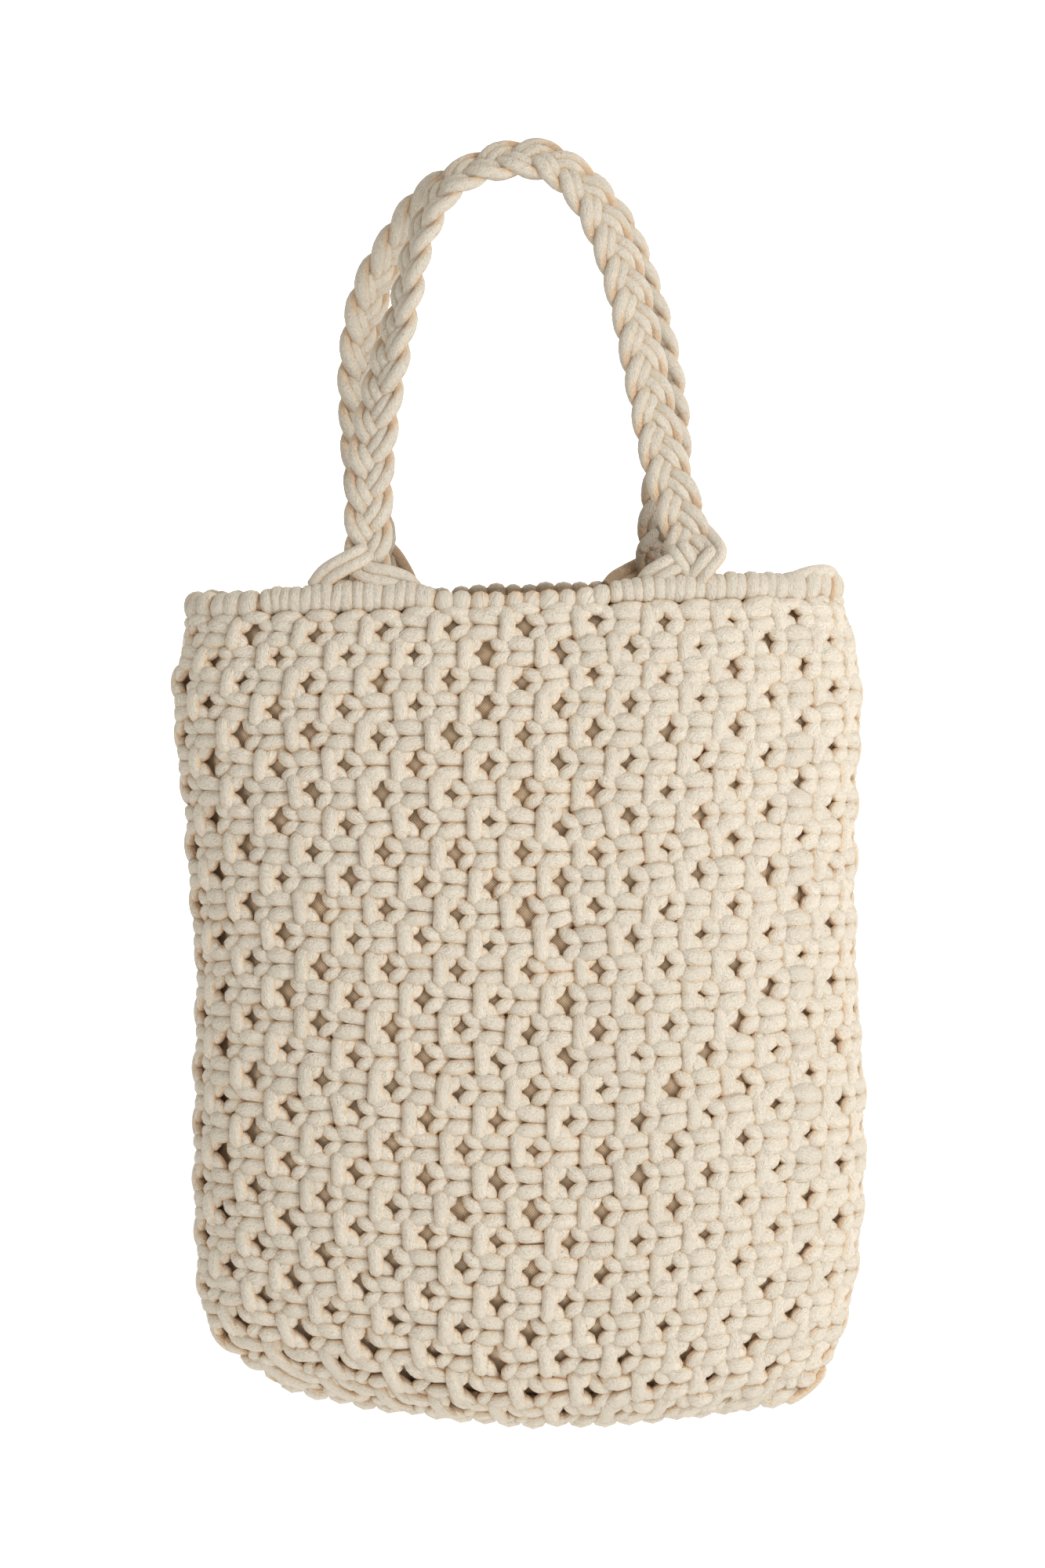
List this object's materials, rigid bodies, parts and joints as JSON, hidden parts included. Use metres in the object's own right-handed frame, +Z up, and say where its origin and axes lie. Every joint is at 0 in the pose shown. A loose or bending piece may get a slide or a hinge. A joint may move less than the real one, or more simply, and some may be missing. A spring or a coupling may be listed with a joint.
{
  "type": "knotted cord tote bag",
  "caption": "Soft tote of square-knotted cotton cord with a wrapped rim, a woven lining seen through the net and two braided carrying handles.",
  "frame": {"origin": "the grip, under the top of the two handles, where a hand or a hook carries the bag", "axes": "+X to the right as the picture shows the front, +Y from the front to the back, +Z up"},
  "size_m": [0.2629, 0.094, 0.4885],
  "materials": {
    "net_cord": "matte twisted cotton cord",
    "rim_cord": "matte twisted cotton cord",
    "handle_cord": "matte twisted cotton cord",
    "lining_cloth": "matte plain-weave cloth"
  },
  "bodies": {
    "root": {"knotted_body": "net_cord", "rim_band": "rim_cord", "handle_front": "handle_cord", "handle_back": "handle_cord", "lining": "lining_cloth"}
  },
  "joints": []
}
